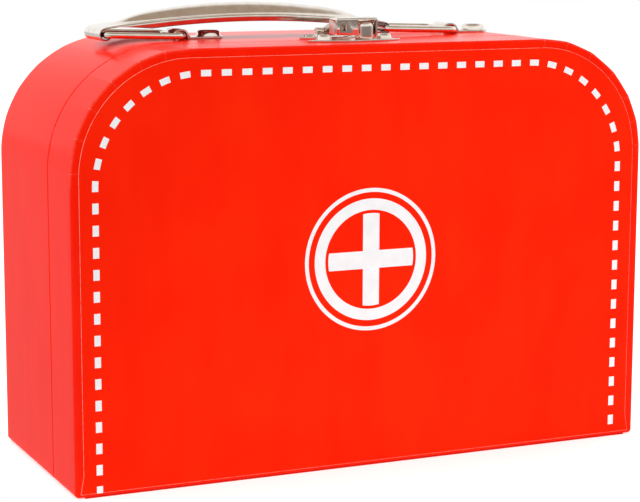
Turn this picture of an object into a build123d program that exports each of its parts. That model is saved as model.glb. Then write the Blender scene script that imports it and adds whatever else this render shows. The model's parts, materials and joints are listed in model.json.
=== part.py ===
from build123d import *
import os
from math import asin, cos, degrees, radians, sin, sqrt, tan

# Play doctor's case: a cardboard suitcase of two halves, with a paper-covered wall, a hinge cloth
# under the foot, a sheet-steel carrying handle on two wire links, and a hasp lock over the seam.
# Millimetres. X runs along the width, Y from the front (-) to the back (+), Z up from the foot.
# The origin is the middle of the foot.

# Case
case_width = 250.0
case_height = 171.0
lid_depth = 29.0
body_depth = 68.0
corner_radius = 48.0
foot_radius = 1.5
floor_margin = 4.0
seam_gap = 0.3

# Sheet stock
board = 2.0
paper = 0.2
glue = 0.1
hinge_cloth = 0.4
label_margin = 3.5
label_foot_margin = 1.2
turn_in = 12.0

# Collar that stands out of the body and locates the lid
collar_board = 1.2
collar_seat = 18.0
collar_lip = 6.0
collar_clearance = 0.5
collar_foot = 12.0

# Handle and its links
pin_margin = 15.4
link_length = 32.2
wire_radius = 1.3
link_width = 27.2
link_bend = 4.0
handle_setback = 31.0
curl_sheet = 0.7
curl_clearance = 0.7
curl_height = 2.8
curl_opening = 130.0
handle_rise = 7.4
handle_end_width = 20.0
handle_mid_width = 23.4
skirt_depth = 2.8
skirt_margin = 6.6
skirt_taper = 17.0
crown_rise = 4.3
crown_width = 18.0
crown_flat_radius = 244.0
crown_shoulder = 21.6
crown_margin = 1.3

# Staples that hold the links
staple_sheet = 0.8
staple_clearance = 0.4
staple_width = 12.0
staple_lean = 30.0
staple_rivet_offset = 15.0
backing_board = 1.2
backing_width = 18.0
backing_overhang = 5.6

# Lock
lock_sheet = 0.8
lid_plate_setback = 11.0
lid_plate_length = 41.0
lid_plate_width = 12.0
lid_rivet_spacing = 26.6
body_plate_setback = 8.5
body_plate_length = 31.0
body_plate_width = 12.0
body_rivet_spacing = 22.0
hasp_pin_radius = 0.9
pin_fit = 0.05
knuckle_clearance = 0.3
hasp_knuckle_width = 10.0
plate_knuckle_width = 3.0
hasp_reach = 22.5
hasp_width = 18.0
hasp_height = 9.4
hasp_skirt = 2.6
hasp_box_depth = 7.5
hasp_front_width = 9.4
slot_width = 2.2
slot_height = 3.4
slot_inset = 2.2
nose_clearance = 0.4
nose_length = 6.2
nose_overhang = 1.2
nose_round = 2.1

# Rivets and washers; the two rounds are shares of a head's height
eyelet_head_radius = 3.2
eyelet_shank_radius = 1.7
eyelet_bore_radius = 1.1
eyelet_head_height = 1.5
staple_head_radius = 5.2
staple_shank_radius = 3.8
staple_bore_radius = 3.2
staple_head_height = 1.7
rivet_head_radius = 2.5
rivet_shank_radius = 1.2
rivet_bore_radius = 0.7
rivet_head_height = 0.9
head_round = 0.6
mouth_round = 0.3
clench = 0.6
clench_flare = 1.0
rivet_clearance = 0.1
washer_sheet = 0.6
washer_rim = 1.6

# Places worked out from the sizes above
case_depth = lid_depth + body_depth
front_y = -case_depth / 2
back_y = case_depth / 2
seam_y = front_y + lid_depth
wall_out = paper + glue
wall_in = wall_out + board
lining_out = wall_in + glue
lining_in = lining_out + paper
top_z = case_height
floor_half = case_width / 2 - floor_margin
handle_y = seam_y + handle_setback
half_span = case_width / 2 - corner_radius - pin_margin
staple_radius = wire_radius + staple_clearance + staple_sheet
pin_z = top_z + staple_clearance + wire_radius
curl_radius = wire_radius + curl_clearance + curl_sheet
curl_z = top_z + curl_height
link_reach = sqrt(link_length**2 - (curl_z - pin_z) ** 2)
link_slope = degrees(asin((curl_z - pin_z) / link_length))
handle_x = -link_reach
# The outer arc of the handle's bow just touches the outside of both curls.
bow_radius = (half_span**2 + handle_rise**2 - curl_radius**2) / (2 * (handle_rise - curl_radius))
bow_z = handle_rise - bow_radius
bow_angle = asin(half_span / (bow_radius - curl_radius))
# The crown is turned about an axis below the plate, which its rise and width set.
crown_axis_z = handle_rise - ((crown_width / 2) ** 2 - crown_rise**2) / (2 * crown_rise)
lid_plate_y = seam_y - lid_plate_setback
body_plate_y = seam_y + body_plate_setback
knuckle_radius = hasp_pin_radius + pin_fit + lock_sheet
hasp_pin_z = top_z + lock_sheet + knuckle_clearance + knuckle_radius
hasp_front_y = body_plate_y - hasp_reach


def slab(face, front, back):
    """Solid between two depths, from a face drawn as (x, height)."""
    low, high = min(front, back), max(front, back)
    return Pos(0, high, 0) * Rot(90, 0, 0) * extrude(face, high - low)


def outline(inset, foot_inset=None):
    """Silhouette of the case, moved in by inset, or at the foot by foot_inset if that is given."""
    width = case_width - 2 * inset
    low = hinge_cloth + (inset if foot_inset is None else foot_inset)
    height = case_height - inset - low
    face = Pos(0, low) * Rectangle(width, height, align=(Align.CENTER, Align.MIN))
    face = fillet(face.vertices().group_by(Axis.Y)[-1], corner_radius - inset)
    foot = max(foot_radius - inset, paper)
    return fillet(face.vertices().group_by(Axis.Y)[0], foot)


def ring(outer, inner):
    """Band of the silhouette between two insets."""
    return outline(outer) - outline(inner)


def drilled(solid, points, radius):
    """The solid with upright holes through it at the (x, y) points."""
    for x, y in points:
        solid -= Pos(x, y, top_z) * Cylinder(radius, case_height)
    return solid


def lens(length, width):
    """Pointed oval: two arcs that meet at its tips."""
    arcs = [
        ThreePointArc((-length / 2, 0), (0, side * width / 2), (length / 2, 0)) for side in (-1, 1)
    ]
    return make_face(arcs)


def pair(spacing, y):
    """Two points, left and right of the middle of the case."""
    return [(-spacing / 2, y), (spacing / 2, y)]


def eyelet(x, y, seat_z, end_z, head, shank, bore, height):
    """Hollow rivet: rolled head on seat_z, shank through the stack, clenched out under end_z."""
    flare = shank + clench_flare
    outer = make_face(
        Polyline(
            (0, end_z - clench), (flare, end_z - clench), (flare, end_z), (shank, end_z),
            (shank, seat_z), (head, seat_z), (head, seat_z + height), (0, seat_z + height),
            close=True,
        )
    )
    rim = outer.vertices().filter_by(lambda v: v.Y > seat_z + height / 2 and v.X > shank)
    solid = revolve(Plane.XZ * fillet(rim, height * head_round), Axis.Z)
    solid -= Pos(0, 0, top_z) * Cylinder(bore, case_height)
    mouth = solid.edges().filter_by(GeomType.CIRCLE).group_by(Axis.Z)[-1].sort_by(SortBy.RADIUS)[0]
    return Pos(x, y, 0) * fillet(mouth, height * mouth_round)


def washer(x, y, under_z, shank):
    """Flat ring inside the case, under the rivet's clenched end."""
    ring_face = Circle(shank + washer_rim + clench_flare) - Circle(shank + rivet_clearance)
    return Pos(x, y, under_z - washer_sheet) * extrude(ring_face, washer_sheet)


def half_shell(outer_y, edge_y, holes):
    """Boards, papers and hinge cloth of one half, from its outer face to its edge at the seam."""
    inward = 1 if edge_y > outer_y else -1
    label_y = outer_y + inward * paper
    board_y = label_y + inward * paper
    panel_y = board_y + inward * board
    rim_y = edge_y - inward * paper

    wrap = slab(ring(0, paper), label_y, edge_y)
    wrap += slab(ring(0, turn_in), label_y, board_y)
    wrap += slab(ring(0, wall_in), rim_y, edge_y)

    floor_z = hinge_cloth + wall_out
    floor_face = Pos(0, floor_z) * Rectangle(2 * floor_half, board, align=(Align.CENTER, Align.MIN))
    floor_gap = Pos(0, floor_z) * Rectangle(
        2 * (floor_half + glue), 2 * board, align=(Align.CENTER, Align.CENTER)
    )
    wall = slab(ring(wall_out, wall_in) - floor_gap, board_y, rim_y)
    lining = slab(ring(lining_out, lining_in), panel_y, edge_y)
    cloth_depth = abs(edge_y - outer_y)
    cloth = Box(
        2 * floor_half, cloth_depth, hinge_cloth, align=(Align.CENTER, Align.CENTER, Align.MIN)
    )
    return {
        "cover": slab(outline(label_margin, label_foot_margin), outer_y, label_y),
        "wrap": drilled(wrap, *holes),
        "wall": drilled(wall, *holes),
        "floor": slab(floor_face, board_y, rim_y),
        "panel": slab(outline(lining_out), board_y, panel_y),
        "lining": drilled(lining, *holes),
        "panel_lining": slab(outline(lining_in + glue), panel_y, panel_y + inward * paper),
        "cloth": Pos(0, (outer_y + edge_y) / 2, 0) * cloth,
    }


def collar(holes):
    """Card arch glued inside the body; its skived lip stands out into the lid."""
    seat = lining_in + glue
    inner = seat + collar_board
    lip = lining_in + collar_clearance
    arch = slab(ring(seat, inner), seam_y, seam_y + collar_seat)
    arch += slab(ring(lip, inner), seam_y - collar_lip, seam_y)
    below = Box(case_width, case_depth, 2 * collar_foot)
    return drilled(arch - below, *holes)


def backing_strip(points):
    """Card strip inside the top, which spreads the pull of the handle's staples."""
    left = min(x for x, _ in points) - backing_overhang
    right = max(x for x, _ in points) + backing_overhang
    strip = Box(right - left, backing_width, backing_board)
    z = top_z - lining_in - backing_board / 2
    strip = Pos((left + right) / 2, handle_y, z) * strip
    strip &= slab(outline(lining_in), front_y, back_y)
    return drilled(strip, points, staple_shank_radius + rivet_clearance)


def hump(radius, level):
    """Area under a hump over the link's bar: upright on its left, leaning out on its right."""
    turn_x, turn_z = radius * cos(radians(staple_lean)), radius * sin(radians(staple_lean))
    low = top_z - pin_z + level
    foot_x = turn_x + (turn_z - low) * tan(radians(staple_lean))
    sides = Polyline((-radius, low), (-radius, 0), (turn_x, turn_z), (foot_x, low), close=True)
    return make_face(sides) + Circle(radius)


def staple(pin_x):
    """Steel strap humped over the link's bar, with a long end held down by a rivet."""
    eye = hump(staple_radius - staple_sheet, 0)
    over = hump(staple_radius, staple_sheet)
    corner = (Align.MIN, Align.MIN)
    leg = Rectangle(staple_sheet, staple_radius, align=corner)
    tab = Rectangle(staple_rivet_offset + staple_width, staple_sheet, align=corner)
    foot = Pos(-staple_radius, top_z - pin_z) * leg + Pos(0, top_z - pin_z) * tab
    strap = Pos(pin_x, pin_z) * (over + foot - eye)
    solid = slab(strap, handle_y - staple_width / 2, handle_y + staple_width / 2)
    end_x = pin_x + staple_rivet_offset
    plan = Pos(pin_x, handle_y) * Rectangle(2 * staple_rivet_offset, staple_width)
    plan += Pos(end_x, handle_y) * Circle(staple_width / 2)
    solid &= Pos(0, 0, top_z) * extrude(plan, 3 * staple_radius)
    return drilled(solid, [(end_x, handle_y)], staple_shank_radius + rivet_clearance)


def link(pin_x):
    """Wire loop between a staple and the handle's curl, lying towards -X."""
    half = link_width / 2
    path = FilletPolyline(
        (0, -half, 0), (-link_length, -half, 0), (-link_length, half, 0), (0, half, 0),
        radius=link_bend, close=True,
    )
    start = path @ 0
    section = Plane(origin=start, z_dir=path % 0) * Circle(wire_radius)
    loop = sweep(section, path=path)
    return Pos(pin_x, handle_y, pin_z) * Rot(0, link_slope, 0) * loop


def handle_plan(inset):
    """Handle seen from above: square ends and gently bowed sides."""
    half = half_span + 2 * curl_radius
    end = handle_end_width / 2 - inset
    middle = handle_mid_width / 2 - inset
    edges = [
        Line((-half, end), (-half, -end)),
        ThreePointArc((-half, -end), (0, -middle), (half, -end)),
        Line((half, -end), (half, end)),
        ThreePointArc((half, end), (0, middle), (-half, end)),
    ]
    return extrude(make_face(edges), case_height)


def crown(drop):
    """Spindle whose top is the crown line moved in by drop: a long arc that falls off at each end."""
    shoulder = asin((half_span - crown_shoulder) / crown_flat_radius)
    flat_z = handle_rise + crown_rise - crown_flat_radius
    # The arc that falls off leaves the long arc at the shoulder, and reaches the axis at the tip.
    to_tip_x = crown_shoulder - crown_margin
    to_tip_z = crown_axis_z - flat_z - crown_flat_radius * cos(shoulder)
    inward = -to_tip_x * sin(shoulder) - to_tip_z * cos(shoulder)
    fall_radius = (to_tip_x**2 + to_tip_z**2) / (2 * inward)
    fall_x = (crown_flat_radius - fall_radius) * sin(shoulder)
    fall_z = flat_z + (crown_flat_radius - fall_radius) * cos(shoulder)
    flat, fall = crown_flat_radius - drop, fall_radius - drop
    tip_x = fall_x + sqrt(fall**2 - (crown_axis_z - fall_z) ** 2)
    turn = (shoulder + asin((tip_x - fall_x) / fall)) / 2
    edge_x, edge_z = flat * sin(shoulder), flat_z + flat * cos(shoulder)
    bend_x, bend_z = fall_x + fall * sin(turn), fall_z + fall * cos(turn)
    edges = [
        ThreePointArc((-edge_x, edge_z), (0, flat_z + flat), (edge_x, edge_z)),
        ThreePointArc((edge_x, edge_z), (bend_x, bend_z), (tip_x, crown_axis_z)),
        Line((tip_x, crown_axis_z), (-tip_x, crown_axis_z)),
        ThreePointArc((-tip_x, crown_axis_z), (-bend_x, bend_z), (-edge_x, edge_z)),
    ]
    return revolve(Plane.XZ * make_face(edges), Axis((0, 0, crown_axis_z), (1, 0, 0)))


def handle():
    """Pressed steel grip: bowed plate, turned-down sides, hollow crown, and a curl at each end."""
    sheet = curl_sheet
    width = 2 * handle_mid_width
    tangent_x = half_span + curl_radius * sin(bow_angle)
    disc = Pos(0, bow_z) * Circle(bow_radius)
    under = Pos(0, bow_z) * Circle(bow_radius - sheet)
    window = Pos(0, handle_rise) * Rectangle(2 * tangent_x, 4 * handle_rise)
    plate_face = (disc - under) & window

    end_x = half_span - skirt_margin
    full_x = end_x - skirt_taper
    end_z = bow_z + sqrt(bow_radius**2 - end_x**2)
    full_z = bow_z + sqrt((bow_radius - skirt_depth) ** 2 - full_x**2)
    span = make_face(
        Polyline(
            (-full_x, full_z), (full_x, full_z), (end_x, end_z), (end_x, 2 * handle_rise),
            (-end_x, 2 * handle_rise), (-end_x, end_z), close=True,
        )
    )
    span += Pos(0, full_z) * Rectangle(2 * full_x, 4 * skirt_depth, align=(Align.CENTER, Align.CENTER))
    skirt_face = (disc - Pos(0, bow_z) * Circle(bow_radius - skirt_depth)) & span

    plate = slab(plate_face, -width / 2, width / 2) & handle_plan(0)
    skirts = slab(skirt_face, -width / 2, width / 2) & (handle_plan(0) - handle_plan(sheet))
    hollow = crown(sheet)
    dome = crown(0) - hollow - slab(under, -width, width)
    solid = plate - hollow + dome + skirts

    bend = CenterArc((0, 0), 2 * curl_radius, 90 - degrees(bow_angle), curl_opening - 360)
    sector = make_face([Line((0, 0), bend @ 0), bend, Line(bend @ 1, (0, 0))])
    curl = (Circle(curl_radius) - Circle(curl_radius - sheet)) & sector
    curl = slab(Pos(half_span, 0) * curl, -handle_end_width / 2, handle_end_width / 2)
    solid += curl
    solid += mirror(curl, Plane.YZ)
    return Pos(handle_x, handle_y, curl_z) * solid


def lid_plate(points):
    """Pointed plate on the lid with the nose that the hasp closes over."""
    plate = extrude(lens(lid_plate_length, lid_plate_width), lock_sheet)
    plate = Pos(0, lid_plate_y, top_z) * plate
    left = -hasp_width / 2 + hasp_front_width + nose_clearance
    right = hasp_width / 2 - lock_sheet - nose_clearance
    height = hasp_height - 2 * lock_sheet - nose_clearance
    nose = Box(right - left, nose_length, height, align=(Align.MIN, Align.MIN, Align.MIN))
    upright = nose.edges().filter_by(Axis.Z).group_by(Axis.Y)[0]
    nose = fillet(upright, nose_round)
    nose = fillet(nose.faces().sort_by(Axis.Z)[-1].edges(), lock_sheet)
    plate += Pos(left, hasp_front_y - nose_overhang, top_z + lock_sheet) * nose
    return drilled(plate, points, eyelet_shank_radius + rivet_clearance)


def body_plate(points):
    """Pointed plate on the body with the two knuckles that carry the hasp's pin."""
    plate = extrude(lens(body_plate_length, body_plate_width), lock_sheet)
    plate = Pos(0, body_plate_y, top_z) * plate
    for side in (-1, 1):
        middle = side * (hasp_knuckle_width / 2 + knuckle_clearance + plate_knuckle_width / 2)
        knuckle = Rot(0, 90, 0) * Cylinder(knuckle_radius, plate_knuckle_width)
        foot = Box(
            plate_knuckle_width, 2 * knuckle_radius, hasp_pin_z - top_z,
            align=(Align.CENTER, Align.CENTER, Align.MAX),
        )
        plate += Pos(middle, body_plate_y, hasp_pin_z) * (knuckle + foot)
    bore = Rot(0, 90, 0) * Cylinder(hasp_pin_radius, body_plate_length)
    plate -= Pos(0, body_plate_y, hasp_pin_z) * bore
    return drilled(plate, points, rivet_shank_radius + rivet_clearance)


def hasp():
    """Strap that turns on the pin and ends in a box, half open in front, over the lid's nose."""
    box_back = hasp_front_y + hasp_box_depth
    lap = hasp_front_y + 2 * lock_sheet
    top = hasp_height + top_z
    strap = make_face(
        Polyline(
            (body_plate_y, hasp_pin_z + knuckle_radius), (box_back, top), (lap, top),
            (lap, top - lock_sheet), (box_back, top - lock_sheet),
            (body_plate_y - knuckle_radius, hasp_pin_z), (body_plate_y, hasp_pin_z), close=True,
        )
    )
    strap = extrude(Plane.YZ * strap, hasp_knuckle_width / 2, both=True)
    knuckle = Rot(0, 90, 0) * Cylinder(knuckle_radius, hasp_knuckle_width)
    bore = Rot(0, 90, 0) * Cylinder(hasp_pin_radius + pin_fit, 2 * hasp_width)
    box_height = hasp_height - hasp_skirt
    box = Box(hasp_width, hasp_box_depth, box_height, align=(Align.CENTER, Align.MIN, Align.MAX))
    rim = box.faces().sort_by(Axis.Z)[-1].edges()
    box = fillet(rim.filter_by(Axis.Y) + rim.sort_by(Axis.Y)[:1], lock_sheet)
    room = Pos(0, lock_sheet, -lock_sheet) * Box(
        hasp_width - 2 * lock_sheet, hasp_box_depth, box_height,
        align=(Align.CENTER, Align.MIN, Align.MAX),
    )
    mouth = Pos(-hasp_width / 2 + hasp_front_width, -lock_sheet, -lock_sheet) * Box(
        hasp_width - hasp_front_width - lock_sheet, 3 * lock_sheet, box_height,
        align=(Align.MIN, Align.MIN, Align.MAX),
    )
    slot = Pos(-hasp_width / 2 + slot_inset, 0, -box_height / 2) * Box(
        slot_width, 3 * lock_sheet, slot_height, align=(Align.MIN, Align.CENTER, Align.CENTER)
    )
    box = Pos(0, hasp_front_y, top) * (box - room - mouth - slot)
    axis = Pos(0, body_plate_y, hasp_pin_z)
    return strap + box + axis * knuckle - axis * bore


def main():
    """Build every piece and write one STEP file for each."""
    lid_points = pair(lid_rivet_spacing, lid_plate_y)
    body_points = pair(body_rivet_spacing, body_plate_y)
    staple_points = [(x + staple_rivet_offset, handle_y) for x in (-half_span, half_span)]
    lid_holes = (lid_points, eyelet_shank_radius + rivet_clearance)
    plate_holes = (body_points, rivet_shank_radius + rivet_clearance)
    staple_holes = (staple_points, staple_shank_radius + rivet_clearance)

    lid = half_shell(front_y, seam_y - seam_gap / 2, lid_holes)
    body = half_shell(back_y, seam_y + seam_gap / 2, plate_holes)
    for layer in ("wrap", "wall", "lining"):
        body[layer] = drilled(body[layer], *staple_holes)

    inside_z = top_z - lining_in
    collar_z = inside_z - glue - collar_board
    backing_z = inside_z - backing_board
    plate_top = top_z + lock_sheet
    lid_eyelets = [
        eyelet(x, y, plate_top, inside_z - washer_sheet, eyelet_head_radius, eyelet_shank_radius,
               eyelet_bore_radius, eyelet_head_height) for x, y in lid_points
    ]
    body_rivets = [
        eyelet(x, y, plate_top, collar_z - washer_sheet, rivet_head_radius, rivet_shank_radius,
               rivet_bore_radius, rivet_head_height) for x, y in body_points
    ]
    staple_rivets = [
        eyelet(x, y, top_z + staple_sheet, backing_z - washer_sheet, staple_head_radius,
               staple_shank_radius, staple_bore_radius, staple_head_height) for x, y in staple_points
    ]
    pin_length = hasp_knuckle_width + 2 * (knuckle_clearance + plate_knuckle_width)
    pin = Rot(0, 90, 0) * Cylinder(hasp_pin_radius, pin_length)

    nodes = {
        "front_label_paper": lid["cover"],
        "lid_wrap_paper": lid["wrap"],
        "lid_wall_board": lid["wall"],
        "lid_floor_board": lid["floor"],
        "lid_front_board": lid["panel"],
        "lid_lining_band": lid["lining"],
        "lid_lining_front": lid["panel_lining"],
        "hinge_cloth_lid": lid["cloth"],
        "back_cover_paper": body["cover"],
        "body_wrap_paper": body["wrap"],
        "body_wall_board": body["wall"],
        "body_floor_board": body["floor"],
        "body_back_board": body["panel"],
        "body_lining_band": body["lining"],
        "body_lining_back": body["panel_lining"],
        "hinge_cloth_body": body["cloth"],
        "seam_collar": collar(plate_holes),
        "handle_backing_strip": backing_strip(staple_points),
        "staple_left": staple(-half_span),
        "staple_right": staple(half_span),
        "staple_rivets": Compound(children=staple_rivets),
        "staple_washers": Compound(
            children=[washer(x, y, backing_z, staple_shank_radius) for x, y in staple_points]
        ),
        "link_left": link(-half_span),
        "link_right": link(half_span),
        "handle_grip": handle(),
        "lock_plate_lid": lid_plate(lid_points),
        "lid_plate_eyelets": Compound(children=lid_eyelets),
        "lid_plate_washers": Compound(
            children=[washer(x, y, inside_z, eyelet_shank_radius) for x, y in lid_points]
        ),
        "lock_plate_body": body_plate(body_points),
        "body_plate_rivets": Compound(children=body_rivets),
        "body_plate_washers": Compound(
            children=[washer(x, y, collar_z, rivet_shank_radius) for x, y in body_points]
        ),
        "hasp_pin": Pos(0, body_plate_y, hasp_pin_z) * pin,
        "hasp": hasp(),
    }
    os.makedirs("parts", exist_ok=True)
    for name, shape in nodes.items():
        export_step(shape, f"parts/{name}.step")
    print(f"{len(nodes)} nodes, case {case_width} x {case_depth} x {case_height} mm")


main()
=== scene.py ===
# %% [markdown]
# # A play doctor's case, dressed over its working model
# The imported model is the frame: it says where every board, wire and rivet sits, and how it moves.
# This notebook only gives those pieces their finish, and makes soft-edged surfaces for what shows.
# Lengths are written in millimetres here, and become Blender's metres where a mesh is made.

# %% Load the frame
import bmesh
import bpy
import json
import math
import numpy as np
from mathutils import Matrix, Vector

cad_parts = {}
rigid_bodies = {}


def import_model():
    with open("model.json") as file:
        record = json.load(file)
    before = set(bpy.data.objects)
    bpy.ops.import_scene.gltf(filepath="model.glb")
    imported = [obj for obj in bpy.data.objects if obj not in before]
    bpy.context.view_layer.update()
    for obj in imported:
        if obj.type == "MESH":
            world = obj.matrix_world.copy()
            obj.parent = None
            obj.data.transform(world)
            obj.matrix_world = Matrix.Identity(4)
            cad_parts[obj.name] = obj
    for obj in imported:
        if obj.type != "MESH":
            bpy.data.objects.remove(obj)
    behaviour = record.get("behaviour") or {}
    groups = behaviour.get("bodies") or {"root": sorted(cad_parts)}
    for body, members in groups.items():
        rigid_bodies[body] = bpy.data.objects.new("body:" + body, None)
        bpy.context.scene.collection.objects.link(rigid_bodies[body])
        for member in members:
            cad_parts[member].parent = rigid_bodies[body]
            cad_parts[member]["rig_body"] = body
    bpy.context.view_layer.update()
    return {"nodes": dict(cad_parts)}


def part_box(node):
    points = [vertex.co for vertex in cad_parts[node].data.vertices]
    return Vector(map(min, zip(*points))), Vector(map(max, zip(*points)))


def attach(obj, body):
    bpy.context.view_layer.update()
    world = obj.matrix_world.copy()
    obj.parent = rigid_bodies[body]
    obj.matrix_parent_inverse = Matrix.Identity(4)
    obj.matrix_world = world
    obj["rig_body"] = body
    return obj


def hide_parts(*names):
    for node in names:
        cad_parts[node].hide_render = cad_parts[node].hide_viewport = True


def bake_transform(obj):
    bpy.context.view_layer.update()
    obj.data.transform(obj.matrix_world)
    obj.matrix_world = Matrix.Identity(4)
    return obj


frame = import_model()
MM = 0.001

# %% [markdown]
# ## Where things are
# A node's box is its lowest and highest corner at rest. The sizes that a box can't give, such as
# the radius of a corner, are named once here, as a maker would write them on the drawing.

# %% Places read from the frame


def box_mm(node):
    """Lowest and highest corner of a node, in millimetres."""
    low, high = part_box(node)
    return np.array(low) / MM, np.array(high) / MM


lid_low, lid_high = box_mm("lid_wrap_paper")
body_low, body_high = box_mm("body_wrap_paper")
front_y = box_mm("front_label_paper")[0][1]
back_y = box_mm("back_cover_paper")[1][1]
half_width = body_high[0]
top_z = body_high[2]
foot_z = body_low[2]
corner_radius = 48.0
foot_radius = 1.5
seam_y = (lid_high[1] + body_low[1]) / 2
print(f"case {2 * half_width:.0f} wide, {top_z:.0f} high, seam at y {seam_y:.1f} mm")

# %% [markdown]
# ## The camera
# The case is seen from its left and a little from above, through a long lens, so its edges run
# almost parallel. The view transform is the plain one: a filmic curve would pale a red this strong.

# %% Camera
camera_place = (-340.89, -757.99, 221.72)
camera_turn = (80.374, -0.147, -24.120)
camera_lens = 112.13


def added(name, data):
    """New object with this data, linked into the scene."""
    made = bpy.data.objects.new(name, data)
    bpy.context.scene.collection.objects.link(made)
    return made


camera = added("camera", bpy.data.cameras.new("camera"))
camera.location = [value * MM for value in camera_place]
camera.rotation_euler = [math.radians(value) for value in camera_turn]
camera.data.lens = camera_lens
camera.data.sensor_width = 36.0
camera.data.clip_start = 0.01
bpy.context.scene.camera = camera
bpy.context.scene.view_settings.view_transform = "Standard"
print("camera", camera_lens, "mm lens")

# %% [markdown]
# ## A small language for materials
# A material is a graph of nodes. Writing `0.4 + 0.1 * grain` is easier to read than five lines of
# links, so one class stands for a socket's value: arithmetic on it adds the Math nodes.

# %% Values in a material


class Value:
    """A number, colour or vector that flows through a material's nodes."""

    def __init__(self, tree, socket):
        self.tree = tree
        self.socket = socket

    def node(self, kind, settings, values, out=0):
        """Any node: its settings first, then the values or links of its sockets."""
        made = self.tree.nodes.new(kind)
        for name, setting in settings.items():
            setattr(made, name, setting)
        for name, value in values.items():
            plug(self.tree, made.inputs[name], value)
        return Value(self.tree, made.outputs[out])

    def math(self, operation, first, second=0.0):
        """One Math node on two numbers."""
        return self.node("ShaderNodeMath", {"operation": operation}, {0: first, 1: second})

    def __add__(self, other):
        return self.math("ADD", self, other)

    def __sub__(self, other):
        return self.math("SUBTRACT", self, other)

    def __rsub__(self, other):
        return self.math("SUBTRACT", other, self)

    def __mul__(self, other):
        return self.math("MULTIPLY", self, other)

    __radd__ = __add__
    __rmul__ = __mul__

    def ramp(self, low, high):
        """0 below low, 1 above high, and a smooth rise between them."""
        settings = {"interpolation_type": "SMOOTHSTEP"}
        values = {"Value": self, "From Min": low, "From Max": high}
        return self.node("ShaderNodeMapRange", settings, values)

    def blend(self, colour_0, colour_1):
        """Colour that goes from one to the other as this value goes from 0 to 1."""
        settings = {"data_type": "RGBA", "clamp_factor": True}
        return self.node("ShaderNodeMix", settings, {0: self, 6: colour_0, 7: colour_1}, out=2)

    def part(self, axis):
        """One of a vector's three numbers."""
        return self.node("ShaderNodeSeparateXYZ", {}, {0: self}, out="XYZ".index(axis))

    def stretched(self, x, y, z):
        """A vector with its three numbers scaled apart."""
        values = {0: self, 1: (x, y, z)}
        return self.node("ShaderNodeVectorMath", {"operation": "MULTIPLY"}, values)

    def noise(self, size, detail=2.0, roughness=0.5):
        """Cloudy noise from 0 to 1 whose lumps are about size millimetres, at this place."""
        look = {"Scale": 1 / (size * MM), "Detail": detail, "Roughness": roughness}
        return self.node("ShaderNodeTexNoise", {}, {"Vector": self, **look})


print("values: numbers, colours and vectors")

# %% [markdown]
# A finish is then a name, the numbers that stay the same all over, and a function that takes a
# place on the piece and says what changes there. The place is the piece's own coordinates, so a
# pattern stays put when the piece moves.

# %% Materials from values


def plug(tree, socket, value):
    """Links a Value to a socket, or sets the socket's own number or colour."""
    if isinstance(value, Value):
        tree.links.new(value.socket, socket)
    elif socket.type == "RGBA":
        socket.default_value = (*value, 1.0)
    else:
        socket.default_value = value


def finish(name, build, **constants):
    """A material: constants go on the shader's own sockets, and build links what varies."""
    material = bpy.data.materials.new(name)
    material.use_nodes = True
    tree = material.node_tree
    shader = tree.nodes["Principled BSDF"]
    for socket, value in constants.items():
        plug(tree, shader.inputs[socket.replace("_", " ")], value)
    place = tree.nodes.new("ShaderNodeTexCoord")
    for socket, value in build(Value(tree, place.outputs["Object"])).items():
        plug(tree, shader.inputs[socket.replace("_", " ")], value)
    return material


def varying(place, colour, roughness, relief, depth):
    """What varies over a finish; relief, from 0 to 1, stands depth millimetres high."""
    values = {"Strength": 1.0, "Distance": depth * MM, "Height": relief}
    normal = place.node("ShaderNodeBump", {}, values)
    return {"Base_Color": colour, "Roughness": roughness, "Normal": normal}


def from_srgb(*levels):
    """Linear colour from screen levels 0 to 255."""
    share = np.array(levels) / 255.0
    linear = np.where(share <= 0.04045, share / 12.92, ((share + 0.055) / 1.055) ** 2.4)
    return tuple(float(level) for level in linear)


print("a mid grey is", [round(level, 3) for level in from_srgb(128, 128, 128)])

# %% [markdown]
# ## Printed paper
# The case is greyboard wrapped in coated paper, printed solid red. Coated paper is smooth but not
# a mirror: its clay coat has a fine tooth, the ink lies a little unevenly, and the paper shows its
# white core where it was cut or rubbed on a fold. The wrap is calendered glossier than the cover
# sheets, so it takes a sheen where it is seen at a slant, and its red is a shade cooler.

# %% Paper finishes
core_white = from_srgb(255, 178, 160)


def printed(name, ink, deep_ink, gloss, shine):
    """Coated paper in one ink: cloudy ink, a fine tooth, and white showing where worn is 1."""

    def build(place):
        cloud = place.noise(38.0, 3.0)
        streak = place.stretched(1.0, 1.0, 0.22).noise(9.0, 2.0)
        tooth = place.noise(0.35, 3.0, 0.6)
        mark = place.node("ShaderNodeAttribute", {"attribute_name": "worn"}, {}, out=2)
        worn = mark * (0.45 + 1.1 * place.noise(1.3, 3.0)).ramp(0.55, 1.15)
        ink_here = (0.6 * cloud + 0.4 * streak).ramp(0.32, 0.68).blend(deep_ink, ink)
        colour = (worn * 0.8).blend(ink_here, core_white)
        roughness = gloss + 0.10 * tooth + 0.08 * cloud + 0.2 * worn
        return varying(place, colour, roughness, 0.7 * tooth + 0.3 * streak, 0.007)

    return finish(name, build, Specular_IOR_Level=shine)


wrap_finish = printed("wrap_paper_red", from_srgb(255, 35, 7), from_srgb(251, 28, 4), 0.10, 0.035)
label_finish = printed("front_sheet_red", from_srgb(255, 38, 4), from_srgb(252, 31, 2), 0.42, 0.03)


def ink_build(place):
    """White ink: two whites in soft clouds, with the paper's tooth showing through."""
    tooth = place.noise(0.35, 3.0, 0.6)
    tint = place.noise(6.0, 2.0).ramp(0.3, 0.7)
    colour = tint.blend(from_srgb(238, 242, 246), from_srgb(245, 248, 251))
    return varying(place, colour, 0.45 + 0.1 * tooth, tooth, 0.01)


ink_finish = finish("white_print", ink_build, Specular_IOR_Level=0.06)
print("paper finishes:", wrap_finish.name, label_finish.name, ink_finish.name)

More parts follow.
